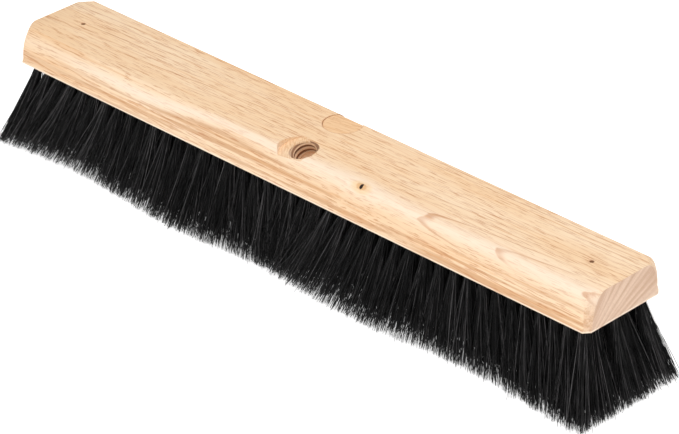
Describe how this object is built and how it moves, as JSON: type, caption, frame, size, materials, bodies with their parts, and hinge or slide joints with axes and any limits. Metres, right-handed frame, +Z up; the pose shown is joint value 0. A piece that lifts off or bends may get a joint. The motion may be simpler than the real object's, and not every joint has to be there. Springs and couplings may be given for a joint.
{
  "type": "push broom head",
  "caption": "Push broom head: one-piece hardwood block with a slanted threaded handle socket, clipped corners and rows of black bristle tufts in blind holes.",
  "frame": {"origin": "middle of the plane that the bristle tips stand on, under the middle of the block", "axes": "+X along the block's length, -Y the front side that holds the threaded socket, +Z up through the block's top face"},
  "size_m": [0.6356, 0.1072, 0.1064],
  "materials": {
    "block_wood": "planed and lightly sanded, unvarnished blond hardwood",
    "plug_wood": "sanded, grain turned across the block's",
    "bristle": "black drawn filament, satin"
  },
  "bodies": {
    "head": {"block": "block_wood", "socket_plug": "plug_wood"},
    "bristle_row_1": {"tufts_row_1_group_01": "bristle", "tufts_row_1_group_02": "bristle", "tufts_row_1_group_03": "bristle", "tufts_row_1_group_04": "bristle", "tufts_row_1_group_05": "bristle", "tufts_row_1_group_06": "bristle", "tufts_row_1_group_07": "bristle", "tufts_row_1_group_08": "bristle", "tufts_row_1_group_09": "bristle", "tufts_row_1_group_10": "bristle", "tufts_row_1_group_11": "bristle"},
    "bristle_row_2": {"tufts_row_2_group_01": "bristle", "tufts_row_2_group_02": "bristle", "tufts_row_2_group_03": "bristle", "tufts_row_2_group_04": "bristle", "tufts_row_2_group_05": "bristle", "tufts_row_2_group_06": "bristle", "tufts_row_2_group_07": "bristle", "tufts_row_2_group_08": "bristle", "tufts_row_2_group_09": "bristle", "tufts_row_2_group_10": "bristle", "tufts_row_2_group_11": "bristle"},
    "bristle_row_3": {"tufts_row_3_group_01": "bristle", "tufts_row_3_group_02": "bristle", "tufts_row_3_group_03": "bristle", "tufts_row_3_group_04": "bristle", "tufts_row_3_group_05": "bristle", "tufts_row_3_group_06": "bristle", "tufts_row_3_group_07": "bristle", "tufts_row_3_group_08": "bristle", "tufts_row_3_group_09": "bristle", "tufts_row_3_group_10": "bristle", "tufts_row_3_group_11": "bristle"},
    "bristle_row_4": {"tufts_row_4_group_01": "bristle", "tufts_row_4_group_02": "bristle", "tufts_row_4_group_03": "bristle", "tufts_row_4_group_04": "bristle", "tufts_row_4_group_05": "bristle", "tufts_row_4_group_06": "bristle", "tufts_row_4_group_07": "bristle", "tufts_row_4_group_08": "bristle", "tufts_row_4_group_09": "bristle", "tufts_row_4_group_10": "bristle", "tufts_row_4_group_11": "bristle"},
    "bristle_row_5": {"tufts_row_5_group_01": "bristle", "tufts_row_5_group_02": "bristle", "tufts_row_5_group_03": "bristle", "tufts_row_5_group_04": "bristle", "tufts_row_5_group_05": "bristle", "tufts_row_5_group_06": "bristle", "tufts_row_5_group_07": "bristle", "tufts_row_5_group_08": "bristle", "tufts_row_5_group_09": "bristle", "tufts_row_5_group_10": "bristle", "tufts_row_5_group_11": "bristle"}
  },
  "joints": [
    {"name": "row_1_lean", "type": "hinge", "parent": "head", "child": "bristle_row_1", "pos_m": [0, -0.0295, 0.0762], "axis": [1, 0, 0], "range_deg": [-20, 20], "stiffness_Nm_per_rad": 4, "deforming": ["tufts_row_1_group_01", "tufts_row_1_group_02", "tufts_row_1_group_03", "tufts_row_1_group_04", "tufts_row_1_group_05", "tufts_row_1_group_06", "tufts_row_1_group_07", "tufts_row_1_group_08", "tufts_row_1_group_09", "tufts_row_1_group_10", "tufts_row_1_group_11"]},
    {"name": "row_2_lean", "type": "hinge", "parent": "head", "child": "bristle_row_2", "pos_m": [0, -0.01475, 0.0762], "axis": [1, 0, 0], "range_deg": [-20, 20], "stiffness_Nm_per_rad": 4, "deforming": ["tufts_row_2_group_01", "tufts_row_2_group_02", "tufts_row_2_group_03", "tufts_row_2_group_04", "tufts_row_2_group_05", "tufts_row_2_group_06", "tufts_row_2_group_07", "tufts_row_2_group_08", "tufts_row_2_group_09", "tufts_row_2_group_10", "tufts_row_2_group_11"]},
    {"name": "row_3_lean", "type": "hinge", "parent": "head", "child": "bristle_row_3", "pos_m": [0, 0, 0.0762], "axis": [1, 0, 0], "range_deg": [-20, 20], "stiffness_Nm_per_rad": 4, "deforming": ["tufts_row_3_group_01", "tufts_row_3_group_02", "tufts_row_3_group_03", "tufts_row_3_group_04", "tufts_row_3_group_05", "tufts_row_3_group_06", "tufts_row_3_group_07", "tufts_row_3_group_08", "tufts_row_3_group_09", "tufts_row_3_group_10", "tufts_row_3_group_11"]},
    {"name": "row_4_lean", "type": "hinge", "parent": "head", "child": "bristle_row_4", "pos_m": [0, 0.01475, 0.0762], "axis": [1, 0, 0], "range_deg": [-20, 20], "stiffness_Nm_per_rad": 4, "deforming": ["tufts_row_4_group_01", "tufts_row_4_group_02", "tufts_row_4_group_03", "tufts_row_4_group_04", "tufts_row_4_group_05", "tufts_row_4_group_06", "tufts_row_4_group_07", "tufts_row_4_group_08", "tufts_row_4_group_09", "tufts_row_4_group_10", "tufts_row_4_group_11"]},
    {"name": "row_5_lean", "type": "hinge", "parent": "head", "child": "bristle_row_5", "pos_m": [0, 0.0295, 0.0762], "axis": [1, 0, 0], "range_deg": [-20, 20], "stiffness_Nm_per_rad": 4, "deforming": ["tufts_row_5_group_01", "tufts_row_5_group_02", "tufts_row_5_group_03", "tufts_row_5_group_04", "tufts_row_5_group_05", "tufts_row_5_group_06", "tufts_row_5_group_07", "tufts_row_5_group_08", "tufts_row_5_group_09", "tufts_row_5_group_10", "tufts_row_5_group_11"]}
  ],
  "couplings": [
    {"joint": "row_1_lean", "follows": "row_3_lean", "ratio": 1},
    {"joint": "row_2_lean", "follows": "row_3_lean", "ratio": 1},
    {"joint": "row_4_lean", "follows": "row_3_lean", "ratio": 1},
    {"joint": "row_5_lean", "follows": "row_3_lean", "ratio": 1}
  ]
}
